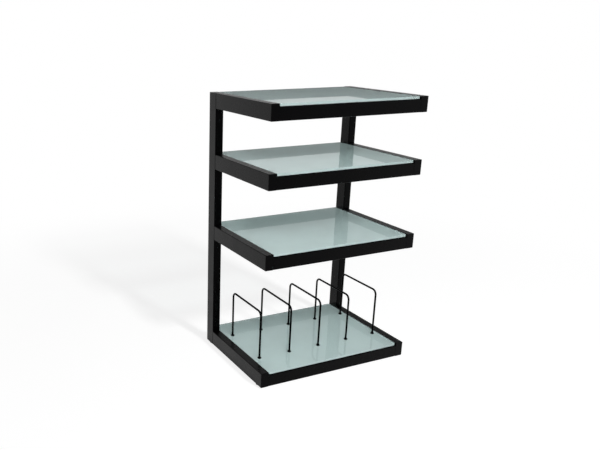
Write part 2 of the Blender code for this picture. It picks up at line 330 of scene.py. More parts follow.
@dataclass(frozen=True)
class LacquerFinish(Finish):
    """The pale lacquer that backs the glass, a little cloudy in tone."""

    name: str = "glass_lacquer"
    colour: Colour = (0.62, 0.715, 0.708)
    roughness: Ends = (0.42, 0.55)
    cloud_scale: float = 9.0
    relief: Relief = Relief(900.0, 0.05, 0.0001)
    passed: Colour = (0.40, 0.42, 0.42)
    gloss: float = 0.1
    shade: float = 0.95
    shade_range: Ends = (0.35, 0.65)

    def tone(self, bench: ShaderBench, clouds: Source) -> Node:
        """The colour, a shade darker where the clouds are.

        Args:
            bench: the bench of the material.
            clouds: the noise that gives the clouds.

        Returns:
            The node that gives the colour.
        """
        ramp = bench.add("ShaderNodeValToRGB", ("Fac", clouds))
        dim = tuple(self.shade * part for part in self.colour)
        for element, place, colour in zip(ramp.color_ramp.elements, self.shade_range, (dim, self.colour)):
            element.position = place
            element.color = (*colour, 1)
        return ramp

    def nature(self) -> list[Feed]:
        """The faint gloss."""
        return [("Specular IOR Level", self.gloss)]


@dataclass(frozen=True)
class SteelFinish(Finish):
    """Plated or blackened steel with fine turning marks."""

    cloud_scale: float = 160.0
    relief: Relief = Relief(2600.0, 0.10, 0.0001)

    def nature(self) -> list[Feed]:
        """The metal."""
        return [("Metallic", 1.0)]


@dataclass(frozen=True)
class RubberFinish(Finish):
    """Matt black rubber with a fine moulded grain."""

    name: str = "strip_rubber"
    colour: Colour = (0.012, 0.012, 0.013)
    roughness: Ends = (0.62, 0.78)
    cloud_scale: float = 1800.0
    relief: Relief = Relief(1800.0, 0.2, 0.0001)


class FinishSet:
    """Every finish of the rack, each built once."""

    def __init__(self) -> None:
        """Builds the materials."""
        peel = Relief(1500.0, 0.08, 0.0002)
        wire = PaintFinish("wire_paint", ior=1.2, roughness=(0.28, 0.38), relief=peel)
        self.frame_paint = PaintFinish("frame_paint").material()
        self.wire_paint = wire.material()
        self.glass = GlassFinish().material()
        self.lacquer = LacquerFinish().material()
        self.rubber = RubberFinish().material()
        self.bolt = SteelFinish("blackened_bolt_steel", (0.035, 0.034, 0.033), (0.30, 0.42)).material()
        self.nut = SteelFinish("zinc_nut_steel", (0.58, 0.58, 0.56), (0.26, 0.40)).material()
        self.foot = SteelFinish("foot_steel", (0.05, 0.05, 0.052), (0.32, 0.45)).material()


class MeshShop:
    """Turns rings of points into meshes, and meshes into finished pieces."""

    SHARP_ANGLE = math.radians(40)

    @staticmethod
    def middle(node: str) -> Vector:
        """The middle of a solid's box."""
        low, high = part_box(node)
        return Vector([(a + b) / 2 for a, b in zip(low, high)])

    @staticmethod
    def circle(radius: float, height: float, count: int) -> Ring:
        """A level ring of so many points round the Z axis, anticlockwise from above."""
        turns = [2 * math.pi * i / count for i in range(count)]
        return [Vector((radius * math.cos(a), radius * math.sin(a), height)) for a in turns]

    @classmethod
    def turned(cls, profile: Sequence[Ends], count: int) -> list[Ring]:
        """The rings of a turned shape, from pairs of radius and height."""
        return [cls.circle(radius, height, count) for radius, height in profile]

    @staticmethod
    def moved(rings: Sequence[Ring], by: Vector) -> list[Ring]:
        """The same rings at another place."""
        return [[by + point for point in ring] for ring in rings]

    @staticmethod
    def stations(length: float, soft: float, *seam: Ends) -> list[Ends]:
        """Where an outline stands along a length with a small round at each end.

        Args:
            length: the whole length.
            soft: the radius of the rounds.
            seam: more pairs of place and inset near each end.

        Returns:
            Pairs of place and inset, from one end to the other.
        """
        near = [(0, soft), (soft * MID_ROUND, soft * MID_ROUND), (soft, 0), *seam]
        return near + [(length - place, inset) for place, inset in reversed(near)]

    @staticmethod
    def thread(radii: Ends, start: float, pitch: float, count: int) -> list[Ends]:
        """The profile of a thread: two radii in turn, half a pitch apart."""
        return [(radii[i % 2], start + i * pitch / 2) for i in range(count)]

    @staticmethod
    def hexagon(flats: float, height: float, count: int, reach: float = math.inf) -> Ring:
        """A level hexagonal ring round the Z axis, cut back to a circle where that is smaller.

        Args:
            flats: the distance across the flats.
            height: the ring's height.
            count: how many points it has, a multiple of six.
            reach: the radius of the circle that trims the corners.

        Returns:
            The ring's points, anticlockwise from above.
        """
        points = []
        for i in range(count):
            turn = 2 * math.pi * i / count
            off_flat = (turn % (math.pi / 3)) - math.pi / 6
            radius = min(flats / 2 / math.cos(off_flat), reach)
            points.append(Vector((radius * math.cos(turn), radius * math.sin(turn), height)))
        return points

    @staticmethod
    def rounded_rectangle(half: Ends, corner: float, facets: int) -> list[Ends]:
        """The outline of a rectangle with round corners.

        Args:
            half: half its width and half its height.
            corner: the corner radius.
            facets: how many facets each corner has.

        Returns:
            The outline's points, anticlockwise.
        """
        points = []
        for quarter, (sx, sy) in enumerate(((1, 1), (-1, 1), (-1, -1), (1, -1))):
            centre = (sx * (half[0] - corner), sy * (half[1] - corner))
            for step in range(facets + 1):
                turn = math.pi / 2 * (quarter + step / facets)
                points.append((centre[0] + corner * math.cos(turn), centre[1] + corner * math.sin(turn)))
        return points

    @staticmethod
    def skin(shape: Shape, rings: Sequence[Ring], cap: Cap) -> list[list[bmesh.types.BMVert]]:
        """Joins rings with the same number of points by quads.

        Args:
            shape: the mesh that takes the faces.
            rings: the rings, in order.
            cap: how the row of rings ends.

        Returns:
            The vertices of each ring.
        """
        loops = [[shape.verts.new(point) for point in ring] for ring in rings]
        following = loops[1:] + loops[:1] if cap is Cap.LOOP else loops[1:]
        for lower, upper in zip(loops, following):
            for i in range(len(lower)):
                j = (i + 1) % len(lower)
                shape.faces.new((lower[i], lower[j], upper[j], upper[i]))
        if cap is Cap.FLAT:
            shape.faces.new(list(reversed(loops[0])))
            shape.faces.new(loops[-1])
        return loops

    @staticmethod
    def closed(shape: Shape, name: str) -> Mesh:
        """Turns a shape's faces outwards and makes it a mesh.

        Args:
            shape: the shape, which is used up.
            name: the mesh's name.

        Returns:
            The mesh.
        """
        bmesh.ops.recalc_face_normals(shape, faces=shape.faces)
        mesh = bpy.data.meshes.new(name)
        shape.to_mesh(mesh)
        shape.free()
        return mesh

    @classmethod
    def drilled(cls, mesh: Mesh, bit: Mesh) -> Mesh:
        """Cuts one closed mesh out of another.

        Args:
            mesh: the mesh that is cut.
            bit: the shape of the hole.

        Returns:
            The mesh with its hole.
        """
        holder = stand(mesh.name, mesh)
        cutter = bpy.data.objects.new(bit.name, bit)
        holder.modifiers.new("drill", "BOOLEAN").object = cutter
        result = cls.settle(holder)
        bpy.data.objects.remove(cutter)
        return result

    @classmethod
    def smooth(cls, shape: Shape, name: str, bit: Mesh | None = None) -> Mesh:
        """Finishes a shape: outward faces, any hole, smooth rounds and level flats.

        Args:
            shape: the shape, which is used up.
            name: the mesh's name.
            bit: the shape of its hole, if it has one.

        Returns:
            The finished mesh.
        """
        mesh = cls.closed(shape, name)
        if bit:
            mesh = cls.drilled(mesh, bit)
        mesh.shade_smooth()
        mesh.set_sharp_from_angle(angle=cls.SHARP_ANGLE)
        holder = stand(name, mesh)
        holder.modifiers.new("level_flats", "WEIGHTED_NORMAL").keep_sharp = True
        return cls.settle(holder)

    @classmethod
    def solid(cls, rings: Sequence[Ring], name: str, cap: Cap = Cap.FLAT, bit: Mesh | None = None) -> Mesh:
        """Makes one finished mesh of a row of rings.

        Args:
            rings: the rings, in order.
            name: the mesh's name.
            cap: how the row of rings ends.
            bit: the shape of its hole, if it has one.

        Returns:
            The finished mesh.
        """
        shape = bmesh.new()
        cls.skin(shape, rings, cap)
        return cls.smooth(shape, name, bit)

    @staticmethod
    def settle(holder: Item) -> Mesh:
        """Takes the evaluated mesh of an object and removes the object.

        Args:
            holder: the object with its live modifiers.

        Returns:
            The plain mesh.
        """
        graph = bpy.context.evaluated_depsgraph_get()
        mesh = bpy.data.meshes.new_from_object(holder.evaluated_get(graph))
        holder.modifiers.clear()
        bpy.data.objects.remove(holder)
        return mesh

    @staticmethod
    def piece(name: str, mesh: Mesh, finish: Material, body: str, slot: Slot, nodes: Sequence[str]) -> None:
        """Puts a finished mesh into the scene in place of its solids.

        Args:
            name: the piece's name.
            mesh: the mesh, in place.
            finish: its material.
            body: the body that carries it.
            slot: the record's slot that the finish belongs to; not used.
            nodes: the solids that the piece stands for.
        """
        mesh.materials.clear()
        mesh.materials.append(finish)
        thing = stand(name, mesh)
        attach(thing, body)
        if nodes:
            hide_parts(*nodes)
        LOG.info("%s: %d faces on %s", name, len(mesh.polygons), body)


class NodeRecipe(NodeBench):
    """A Geometry Nodes tree with named sizes, which ends in one realised geometry with its finish."""

    def __init__(self, name: str) -> None:
        """Starts an empty tree.

        Args:
            name: the tree's name.
        """
        super().__init__(bpy.data.node_groups.new(name, "GeometryNodeTree"))
        face = self.tree.interface
        face.new_socket("Geometry", in_out="INPUT", socket_type="NodeSocketGeometry")
        face.new_socket("Geometry", in_out="OUTPUT", socket_type="NodeSocketGeometry")
        self.inlet = self.add("NodeGroupInput")
        self.keys: dict[str, str] = {}

    def size(self, label: str, kind: str = "Float") -> Socket:
        """Adds a named input.

        Args:
            label: the input's name.
            kind: its socket type, without the leading "NodeSocket".

        Returns:
            The socket that carries it inside the tree.
        """
        item = self.tree.interface.new_socket(label, in_out="INPUT", socket_type="NodeSocket" + kind)
        self.keys[label] = item.identifier
        return self.inlet.outputs[label]

    def point(self, x: Term, y: Term, z: Term) -> Node:
        """A vector from its three parts."""
        return self.add("ShaderNodeCombineXYZ", ("X", x), ("Y", y), ("Z", z))

    def deliver(self, geometry: Source, finish: Material) -> None:
        """Realises the geometry and gives it its finish.

        Args:
            geometry: the geometry that makes the piece.
            finish: the material.
        """
        real = self.add("GeometryNodeRealizeInstances", ("Geometry", geometry))
        coat = self.add("GeometryNodeSetMaterial", ("Geometry", real), ("Material", finish))
        self.add("NodeGroupOutput", (0, coat))

    def make(self, name: str, host: Mesh, sizes: dict[str, Any]) -> Mesh:
        """Runs the tree on a host mesh.

        Args:
            name: the name of the result.
            host: the mesh that carries the path or the points.
            sizes: the values of the named inputs.

        Returns:
            The plain mesh.
        """
        holder = stand(name, host)
        modifier = holder.modifiers.new(name, "NODES")
        modifier.node_group = self.tree
        for label, value in sizes.items():
            modifier[self.keys[label]] = value
        mesh = MeshShop.settle(holder)
        mesh.name = name
        return mesh

    @classmethod
    def copies(cls, name: str, source: Mesh, places: Sequence[Vector], finish: Material,
               turn: Vector = Vector()) -> Mesh:
        """Sets one made shape at many places.

        Args:
            name: the name of the result.
            source: the shape, round its own origin.
            places: where its origin goes.
            finish: its material.
            turn: its turn as Euler angles.

        Returns:
            The plain mesh of all the copies.
        """
        recipe = cls(name)
        shape = recipe.size("Shape", "Object")
        angle = recipe.size("Turn", "Vector")
        info = recipe.add("GeometryNodeObjectInfo", ("Object", shape))
        rotation = recipe.add("FunctionNodeEulerToRotation", (0, angle))
        row = recipe.add("GeometryNodeInstanceOnPoints", ("Points", recipe.inlet),
                         ("Instance", info.outputs["Geometry"]), ("Rotation", rotation))
        recipe.deliver(row, finish)
        host = bpy.data.meshes.new(f"{name}_places")
        host.from_pydata(places, [], [])
        sample = bpy.data.objects.new(f"{name}_shape", source)
        mesh = recipe.make(name, host, {"Shape": sample, "Turn": turn})
        bpy.data.objects.remove(sample)
        return mesh


@dataclass
class TubeFrame:
    """The welded and bolted tube frame: two posts, eight arms and eight cross bars."""

    finish: Material
    corner: float = 0.0022
    corner_facets: int = 6
    end_round: float = 0.0007
    cap_plate: float = 0.002
    cap_seam: float = 0.00018
    cap_seam_half: float = 0.0003
    foot_hole_radius: float = 0.0043
    foot_hole_spare: float = 0.0008
    foot_hole_points: int = 48

    def build(self) -> None:
        """Makes every tube in place of its solid."""
        for side in Side:
            self._tube(f"{side}_post", Axis.Z, f"{side}_rear_foot")
            for shelf in Shelf:
                foot = f"{side}_front_foot" if shelf is Shelf.BOTTOM else ""
                self._tube(f"{side}_arm_{shelf}", Axis.Y, foot)
        for end in End:
            for shelf in Shelf:
                self._tube(f"{end}_bar_{shelf}", Axis.X)

    def _tube(self, node: str, axis: Axis, foot: str = "") -> None:
        """Makes one tube with round corners and a capped, seamed end on each side.

        Args:
            node: the solid that the tube stands for.
            axis: the way it runs.
            foot: the foot that screws into it, if there is one.
        """
        low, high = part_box(node)
        along, across, up = axis.value
        half = ((high[across] - low[across]) / 2, (high[up] - low[up]) / 2)
        seam = ((self.cap_plate - self.cap_seam_half, 0), (self.cap_plate, self.cap_seam),
                (self.cap_plate + self.cap_seam_half, 0))
        rings = []
        for place, inset in MeshShop.stations(high[along] - low[along], self.end_round, *seam):
            section = (half[0] - inset, half[1] - inset)
            ring = []
            for u, v in MeshShop.rounded_rectangle(section, self.corner, self.corner_facets):
                point = Vector()
                point[along] = low[along] + place
                point[across] = low[across] + half[0] + u
                point[up] = low[up] + half[1] + v
                ring.append(point)
            rings.append(ring)
        mesh = MeshShop.solid(rings, node, bit=self._foot_hole(foot) if foot else None)
        MeshShop.piece(f"{node}_tube", mesh, self.finish, "frame", Slot.FRAME_PAINT, [node])

    def _foot_hole(self, foot: str) -> Mesh:
        """The hole that a foot's stem screws into.

        Args:
            foot: the foot's solid.

        Returns:
            The shape of the hole.
        """
        low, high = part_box(foot)
        centre = MeshShop.middle(foot)
        centre.z = 0
        ends = ((self.foot_hole_radius, low.z), (self.foot_hole_radius, high.z + self.foot_hole_spare))
        rings = MeshShop.turned(ends, self.foot_hole_points)
        shape = bmesh.new()
        MeshShop.skin(shape, MeshShop.moved(rings, centre), Cap.FLAT)
        return MeshShop.closed(shape, f"{foot}_hole")


@dataclass
class WeldBeads:
    """Fillet welds in the inner corners where the cross bars meet the arms and posts."""

    finish: Material
    throat: float = 0.0026
    pitch: float = 0.0022
    end_margin: float = 0.003
    ripple_segments: int = 10
    ripple_rings: int = 6
    least_ripple: Vector = Vector((0.86, 0.86, 0.62))
    most_ripple: Vector = Vector((1.0, 1.0, 0.78))
    seed: int = 7

    def build(self) -> None:
        """Makes all the beads as one piece on the frame."""
        host = bpy.data.meshes.new("bead_paths")
        points, edges = self._paths()
        host.from_pydata(points, edges, [])
        mesh = self._recipe().make("weld_beads", host, {"Throat": self.throat, "Pitch": self.pitch})
        MeshShop.piece("weld_beads", mesh, self.finish, "frame", Slot.FRAME_PAINT, [])

    def _paths(self) -> tuple[list[Vector], list[tuple[int, int]]]:
        """The upright corner line at each end of each bar, on its inner face.

        Returns:
            The points, and the pairs of points that make a line.
        """
        points = []
        for shelf in Shelf:
            for end in End:
                low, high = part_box(f"{end}_bar_{shelf}")
                y = high.y if end is End.FRONT else low.y
                for x in (low.x, high.x):
                    points.append(Vector((x, y, low.z + self.end_margin)))
                    points.append(Vector((x, y, high.z - self.end_margin)))
        return points, [(i, i + 1) for i in range(0, len(points), 2)]

    def _recipe(self) -> NodeRecipe:
        """A row of overlapping ripples along every path.

        Returns:
            The tree.
        """
        recipe = NodeRecipe("bead_ripples")
        throat = recipe.size("Throat")
        pitch = recipe.size("Pitch")
        path = recipe.add("GeometryNodeMeshToCurve", ("Mesh", recipe.inlet))
        steps = recipe.add("GeometryNodeCurveToPoints", ("Curve", path), ("Length", pitch), mode="LENGTH")
        ripple = recipe.add("GeometryNodeMeshUVSphere", ("Segments", self.ripple_segments),
                            ("Rings", self.ripple_rings), ("Radius", throat))
        soft = recipe.add("GeometryNodeSetShadeSmooth", (0, ripple))
        wobble = recipe.add("FunctionNodeRandomValue", ("Min", self.least_ripple), ("Max", self.most_ripple),
                            ("Seed", self.seed), data_type="FLOAT_VECTOR")
        row = recipe.add("GeometryNodeInstanceOnPoints", ("Points", steps),
                         ("Instance", soft), ("Scale", wobble))
        recipe.deliver(row, self.finish)
        return recipe


@dataclass
class ArmBolts:
    """The button-head bolts behind the posts that hold the arms."""

    finish: Material
    ring_points: int = 36
    head_radius: float = 0.007
    rim: float = 0.0012
    edge: float = 0.0003
    dome_rings: int = 6
    socket_flats: float = 0.005
    socket_depth: float = 0.0026
    socket_lead: float = 0.0004
    crown_margin: float = 0.0006
    tip_radius: float = 0.0004
    tip_depth: float = 0.0005
    shank_radius: float = 0.004

    def build(self) -> None:
        """Makes the eight bolts as one piece on the frame."""
        nodes = [f"{side}_arm_bolt_{shelf}" for side in Side for shelf in Shelf]
        post_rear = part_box("left_post")[1].y
        low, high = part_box(nodes[0])
        places = [MeshShop.middle(node) for node in nodes]
        for place in places:
            place.y = post_rear
        source = self._bolt(high.y - post_rear, post_rear - low.y)
        turn = Vector((-math.pi / 2, 0, 0))
        mesh = NodeRecipe.copies("arm_bolt_copies", source, places, self.finish, turn)
        MeshShop.piece("arm_bolts", mesh, self.finish, "frame", Slot.BOLT_STEEL, nodes)

    def _bolt(self, head: float, shank: float) -> Mesh:
        """One bolt that points along minus Z, with the underside of its head at the origin.

        Args:
            head: the height of the head.
            shank: the length of the shank.

        Returns:
            The bolt's mesh.
        """
        count = self.ring_points
        reach = self.head_radius
        crown = self.socket_flats / math.sqrt(3) + self.crown_margin
        profile = [(self.shank_radius, -shank), (self.shank_radius, 0), (reach - self.edge, 0),
                   (reach, self.edge), (reach, self.rim)]
        for step in range(1, self.dome_rings + 1):
            turn = math.pi / 2 * step / self.dome_rings
            radius = crown + (reach - crown) * math.cos(turn)
            profile.append((radius, self.rim + (head - self.rim) * math.sin(turn)))
        floor = head - self.socket_depth
        rings = MeshShop.turned(profile, count)
        rings += [MeshShop.hexagon(self.socket_flats + self.socket_lead, head, count),
                  MeshShop.hexagon(self.socket_flats, head - self.edge, count),
                  MeshShop.hexagon(self.socket_flats, floor, count),
                  MeshShop.circle(self.tip_radius, floor - self.tip_depth, count)]
        return MeshShop.solid(rings, "arm_bolt")


@dataclass
class GlassShelves:
    """Four backed panes with round corners and polished edges. The lowest is drilled for the dividers."""

    finish: Material
    backing: Material
    corner: float = 0.008
    corner_facets: int = 14
    arris: float = 0.0009
    hole_radius: float = 0.0041
    hole_points: int = 28
    facing_down: float = -0.99

    def build(self, legs: Sequence[Vector]) -> None:
        """Makes the four panes and lacquers their undersides.

        Args:
            legs: where the dividers' legs pass through the bottom pane.
        """
        for shelf in Shelf:
            node = f"glass_{shelf}"
            mesh = self._pane(node, legs if shelf is Shelf.BOTTOM else [])
            body = f"{shelf}_shelf"
            MeshShop.piece(f"{node}_pane", mesh, self.finish, body, Slot.SHELF_GLASS, [node])
            mesh.materials.append(self.backing)
            for face in mesh.polygons:
                face.material_index = 1 if face.normal.z < self.facing_down else 0

    def _pane(self, node: str, holes: Sequence[Vector]) -> Mesh:
        """One pane.

        Args:
            node: the solid that the pane stands for.
            holes: the middles of its holes.

        Returns:
            The pane's mesh.
        """
        low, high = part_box(node)
        middle = (low + high) / 2
        half = (high - low) / 2
        levels = [(low.z + place, inset) for place, inset in MeshShop.stations(high.z - low.z, self.arris)]
        shape = bmesh.new()
        rings = []
        for height, inset in levels:
            outline = MeshShop.rounded_rectangle((half.x - inset, half.y - inset), self.corner - inset,
                                                 self.corner_facets)
            rings.append([Vector((middle.x + u, middle.y + v, height)) for u, v in outline])
        borders = [MeshShop.skin(shape, rings, Cap.OPEN)]
        profile = [(self.hole_radius + inset / 2, height) for height, inset in levels]
        walls = MeshShop.turned(profile, self.hole_points)
        for hole in holes:
            centre = Vector((hole.x, hole.y, 0))
            borders.append(MeshShop.skin(shape, MeshShop.moved(walls, centre), Cap.OPEN))
        for level in (0, -1):
            self._face(shape, [loops[level] for loops in borders])
        return MeshShop.smooth(shape, node)

    @staticmethod
    def _face(shape: Shape, loops: Sequence[Sequence[bmesh.types.BMVert]]) -> None:
        """Fills a level face inside its first loop and outside the others.

        Args:
            shape: the mesh that takes the face.
            loops: the face's border, then its holes.
        """
        if len(loops) == 1:
            shape.faces.new(loops[0])
            return
        edges = []
        for loop in loops:
            for i, vertex in enumerate(loop):
                edges.append(shape.edges.get((vertex, loop[(i + 1) % len(loop)])))
        bmesh.ops.triangle_fill(shape, use_beauty=True, edges=edges)


@dataclass
class RecordDividers:
    """Five bent wire hoops with flared collars on the glass, and threads and flange nuts below it."""

    finish: Material
    nut_finish: Material
    count: int = 5
    bend: float = 0.018
    bend_points: int = 14
    wire_radius: float = 0.0035
    wire_points: int = 20
    collar_radius: float = 0.0072
    collar_height: float = 0.006
    collar_steps: int = 14
    collar_points: int = 28
    collar_flare: tuple[Ends, ...] = ((0.0, 0.94), (0.07, 1.0), (0.22, 1.0), (0.34, 0.72), (0.6, 0.32),
                                      (0.92, 0.18), (1.0, 0.06))
    thread_pitch: float = 0.001
    thread_crest: float = 0.0002
    thread_root: float = -0.0001
    nut_flats: float = 0.011
    nut_flange_radius: float = 0.0078
    nut_flange: float = 0.0014
    nut_edge: float = 0.0003
    nut_root: float = 0.0002
    nut_chamfer: float = 0.0006
    bore_gap: float = 0.0003
    bore_lead: float = 0.0004
    ring_points: int = 36
    legs: list[Vector] = field(default_factory=list)

    def __post_init__(self) -> None:
        """Finds the legs from the solids."""
        glass_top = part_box("glass_bottom")[1].z
        for node in self._nodes():
            low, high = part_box(node)
            middle = MeshShop.middle(node).x
            self.legs.append(Vector((middle, low.y + self.collar_radius, glass_top)))
            self.legs.append(Vector((middle, high.y - self.collar_radius, glass_top)))

    def build(self) -> None:
        """Makes the hoops, their threads and their nuts, each as one piece on the bottom shelf."""
        nodes = self._nodes()
        low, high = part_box(nodes[0])
        front, rear = self.legs[:2]
        crown = high.z - self.wire_radius
        corners = [(front.x, front.y, low.z), (front.x, front.y, crown), (rear.x, rear.y, crown),
                   (rear.x, rear.y, low.z)]
        path = bpy.data.meshes.new("hoop_path")
        path.from_pydata(corners, [(0, 1), (1, 2), (2, 3)], [])
        sizes = {"Count": self.count, "Pitch": self.legs[2].x - front.x, "Bend": self.bend,
                 "Wire radius": self.wire_radius, "Collar radius": self.collar_radius,
                 "Collar height": self.collar_height, "Front foot": front, "Rear foot": rear}
        mesh = self._recipe().make("record_dividers", path, sizes)
        MeshShop.piece("record_dividers", mesh, self.finish, "bottom_shelf", Slot.WIRE_PAINT, nodes)
        self._threads(low.z)
        self._nuts()

    def _nodes(self) -> list[str]:
        """The names of the hoops' solids."""
        return [f"divider_{number}" for number in range(1, self.count + 1)]

    def _recipe(self) -> NodeRecipe:
        """A wire bent along the path, a collar at each foot, and the row of hoops.

        Returns:
            The tree.
        """
        recipe = NodeRecipe("hoop_row")
        count = recipe.size("Count", "Int")
        pitch = recipe.size("Pitch")
        bend = recipe.size("Bend")
        radius = recipe.size("Wire radius")
        collar_radius = recipe.size("Collar radius")
        collar_height = recipe.size("Collar height")
        feet = [recipe.size("Front foot", "Vector"), recipe.size("Rear foot", "Vector")]
        path = recipe.add("GeometryNodeMeshToCurve", ("Mesh", recipe.inlet))
        bent = recipe.add("GeometryNodeFilletCurve", ("Curve", path), ("Radius", bend),
                          ("Count", self.bend_points), mode="POLY")
        section = recipe.add("GeometryNodeCurvePrimitiveCircle", ("Resolution", self.wire_points),
                             ("Radius", radius))
        wire = recipe.add("GeometryNodeCurveToMesh", ("Curve", bent),
                          ("Profile Curve", section), ("Fill Caps", True))
        parts = [wire]
        parts += [self._collar(recipe, foot, collar_radius, collar_height, radius) for foot in feet]
        hoop = recipe.add("GeometryNodeJoinGeometry", *[(0, part) for part in parts])
        soft = recipe.add("GeometryNodeSetShadeSmooth", (0, hoop))
        offset = recipe.point(pitch, 0.0, 0.0)
        row = recipe.add("GeometryNodeMeshLine", ("Count", count), ("Offset", offset))
        copies = recipe.add("GeometryNodeInstanceOnPoints", ("Points", row), ("Instance", soft))
        recipe.deliver(copies, self.finish)
        return recipe

    def _collar(self, recipe: NodeRecipe, foot: Socket, radius: Socket, height: Socket, neck: Socket) -> Node:
        """A flared collar, turned from a radius that falls from its rim to the wire.

        Args:
            recipe: the tree under construction.
            foot: the middle of its underside.
            radius: its rim's radius.
            height: its height.
            neck: the wire's radius.

        Returns:
            The collar's geometry.
        """
        top = recipe.add("ShaderNodeVectorMath", (0, foot), (1, recipe.point(0.0, 0.0, height)))
        axis = recipe.add("GeometryNodeCurvePrimitiveLine", ("Start", foot), ("End", top))
        steps = recipe.add("GeometryNodeResampleCurve", ("Curve", axis), ("Count", self.collar_steps))
        along = recipe.add("GeometryNodeSplineParameter").outputs["Factor"]
        flare = recipe.add("ShaderNodeFloatCurve", ("Value", along))
        curve = flare.mapping.curves[0]
        curve.points[0].location = self.collar_flare[0]
        curve.points[1].location = self.collar_flare[-1]
        for place in self.collar_flare[1:-1]:
            curve.points.new(*place)
        flare.mapping.update()
        spread = recipe.reckon("SUBTRACT", radius, neck)
        turned = recipe.reckon("MULTIPLY_ADD", flare, spread, neck)
        section = recipe.add("GeometryNodeCurvePrimitiveCircle", ("Resolution", self.collar_points),
                             ("Radius", 1.0))
        return recipe.add("GeometryNodeCurveToMesh", ("Curve", steps), ("Scale", turned),
                          ("Profile Curve", section), ("Fill Caps", True))

    def _threads(self, tip: float) -> None:
        """Makes the thread on each wire end, from its tip up to the underside of the glass.

        Args:
            tip: the height of the wire's end.
        """
        step = self.thread_pitch / 2
        steps = int((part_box("glass_bottom")[0].z - tip) / step)
        radii = (self.wire_radius + self.thread_root, self.wire_radius + self.thread_crest)
        profile = MeshShop.thread(radii, step, self.thread_pitch, steps - 1)
        source = MeshShop.solid(MeshShop.turned(profile, self.ring_points), "divider_thread")
        places = [Vector((leg.x, leg.y, tip)) for leg in self.legs]
        mesh = NodeRecipe.copies("divider_thread_copies", source, places, self.finish)
        MeshShop.piece("divider_threads", mesh, self.finish, "bottom_shelf", Slot.WIRE_PAINT, [])

    def _nuts(self) -> None:
        """Makes the ten flange nuts under the glass."""
        nodes = [f"divider_nut_{number}_{end}" for number in range(1, self.count + 1) for end in End]
        low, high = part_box(nodes[0])
        places = [MeshShop.middle(node) for node in nodes]
        for place in places:
            place.z = high.z
        source = self._nut(high.z - low.z)
        mesh = NodeRecipe.copies("divider_nut_copies", source, places, self.nut_finish)
        MeshShop.piece("divider_nuts", mesh, self.nut_finish, "bottom_shelf", Slot.NUT_STEEL, nodes)

    def _nut(self, height: float) -> Mesh:
        """One flange nut below the origin, with its flange on top and a bore through it.

        Args:
            height: its height.

        Returns:
            The nut's mesh.
        """
        count = self.ring_points
        flats = self.nut_flats
        flange = self.nut_flange_radius
        edge = self.nut_edge
        lead = self.bore_lead
        reach = flats / math.sqrt(3)
        bore = self.wire_radius + self.bore_gap
        rings = MeshShop.turned([(bore, 0), (flange - edge, 0), (flange, -edge),
                                 (flange, lead - self.nut_flange)], count)
        rings += [MeshShop.hexagon(flats + self.nut_root, -self.nut_flange, count),
                  MeshShop.hexagon(flats, -self.nut_flange - edge, count),
                  MeshShop.hexagon(flats, self.nut_chamfer - height, count, reach),
                  MeshShop.hexagon(flats, -height, count, reach - self.nut_chamfer)]
        rings += MeshShop.turned([(bore + lead, -height), (bore, lead - height)], count)
        return MeshShop.solid(rings, "divider_nut", Cap.LOOP)


@dataclass
class LevellingFeet:
    """Four screw-in feet, each with a knurled pad and a threaded stem."""

    finish: Material
    ring_points: int = 48
    chamfer: float = 0.0015
    top_edge: float = 0.0009
    top_drop: float = 0.000225
    top_inset: float = 0.0012
    seat_gap: float = 0.0003
    knurl: float = 0.00025
    stem_radius: float = 0.004
    thread_pitch: float = 0.00125
    thread_depth: float = 0.0004

    def build(self) -> None:
        """Makes each foot on its own body."""
        for side in Side:
            for end in End:
                node = f"{side}_{end}_foot"
                mesh = self._foot(node)
                MeshShop.piece(f"{node}_screw", mesh, self.finish, node, Slot.FOOT_STEEL, [node])

    def _foot(self, node: str) -> Mesh:
        """One foot with its pad on the floor.

        Args:
            node: the solid that the foot stands for.

        Returns:
            The foot's mesh.
        """
        low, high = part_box(node)
        radius = (high.x - low.x) / 2
        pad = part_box("left_post")[0].z - low.z
        count = self.ring_points
        mid = self.chamfer * MID_ROUND
        root = self.stem_radius - self.thread_depth
        seat = pad - self.seat_gap
        step = self.thread_pitch / 2
        top = high.z - low.z
        steps = math.ceil((top - self.thread_pitch - pad - step) / step)
        thread = MeshShop.thread((self.stem_radius, root), pad + step, self.thread_pitch, steps)
        rings = MeshShop.turned([(radius - self.chamfer, 0), (radius - mid, mid)], count)
        rings += [self._knurled(radius, self.chamfer), self._knurled(radius, pad - self.top_edge)]
        rings += MeshShop.turned([(radius - mid, pad - self.top_drop), (radius - self.top_inset, seat),
                                  (root, seat), *thread, (root - self.thread_depth, top)], count)
        base = MeshShop.middle(node)
        base.z = low.z
        return MeshShop.solid(MeshShop.moved(rings, base), node)

    def _knurled(self, radius: float, height: float) -> Ring:
        """A ring whose every other point is drawn in.

        Args:
            radius: the ring's full radius.
            height: the ring's height.

        Returns:
            The ring's points.
        """
        ring = MeshShop.circle(radius, height, self.ring_points)
        for point in ring[::2]:
            point.xy *= 1 - self.knurl / radius
        return ring


@dataclass
class RubberStrips:
    """The thin strips between the bars and the glass, kept from the solids."""

    finish: Material

    def dress(self) -> None:
        """Gives every strip its rubber."""
        for end in End:
            for shelf in Shelf:
                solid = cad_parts[f"{end}_strip_{shelf}"]
                solid.data.materials.clear()
                solid.data.materials.append(self.finish)
                LOG.info("%s: rubber", solid.name)


